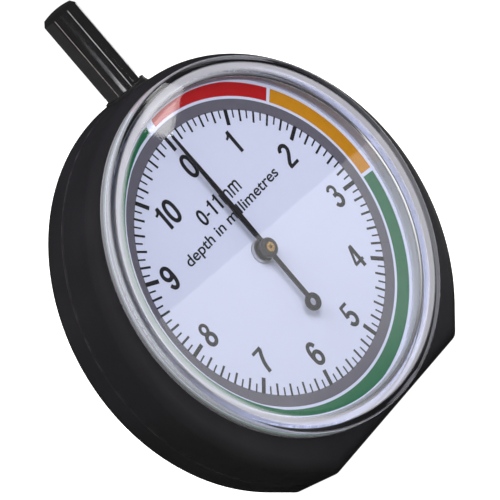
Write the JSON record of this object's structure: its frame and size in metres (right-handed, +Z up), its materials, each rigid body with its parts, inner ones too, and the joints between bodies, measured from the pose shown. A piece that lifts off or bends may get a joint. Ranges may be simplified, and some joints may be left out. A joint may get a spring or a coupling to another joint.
{
  "type": "tire tread gauge",
  "caption": "Dial tread-depth gauge: round black case with a flat foot, clear lens, chromed push plunger, probe pin, and a needle that makes one turn over the travel.",
  "frame": {"origin": "on the foot's flat face, under the dial axis and half way through the case", "axes": "+Z up from the foot toward the plunger, the dial faces -Y, +X to the right of the dial"},
  "size_m": [0.0516, 0.0124, 0.061],
  "materials": {
    "case_plastic": "black moulded plastic, fine satin texture",
    "bush_plastic": "black moulded plastic, smooth",
    "lens_clear": "clear acrylic, polished",
    "dial_white": "white printed dial plate",
    "chrome": "bright chrome plating",
    "steel": "turned steel",
    "screw_steel": "dark plated steel",
    "spring_steel": "drawn spring wire",
    "brass": "machined brass",
    "needle_black": "black painted sheet metal"
  },
  "bodies": {
    "case": {"case_shell": "case_plastic", "back_cover": "case_plastic", "cover_screws": "screw_steel", "lens": "lens_clear", "dial_plate": "dial_white", "plunger_bush": "bush_plastic", "probe_bush": "brass", "spring_seat": "steel", "movement_front_plate": "brass", "movement_back_plate": "brass", "movement_pillars": "brass", "movement_screws": "steel", "frame_screws": "steel", "arbor_bush": "steel", "rear_bearing": "steel"},
    "plunger": {"plunger_cap": "chrome", "rack_rod": "steel", "probe_pin": "steel", "spring_collar": "steel", "guide_pin": "steel", "return_spring": "spring_steel"},
    "pointer": {"needle": "needle_black", "needle_hub": "needle_black", "arbor": "brass", "pinion": "brass"}
  },
  "joints": [
    {"name": "plunger_slide", "type": "slide", "parent": "case", "child": "plunger", "axis": [0, 0, -1], "range_m": [0, 0.011], "stiffness_N_per_m": 150, "springref_m": -0.0067, "deforming": ["return_spring"]},
    {"name": "needle_turn", "type": "hinge", "parent": "case", "child": "pointer", "pos_m": [0, 0, 0.02425], "axis": [0, 1, 0], "range_deg": [0, 360.5]}
  ],
  "couplings": [
    {"joint": "needle_turn", "follows": "plunger_slide", "rad_per_m": 571.2}
  ]
}
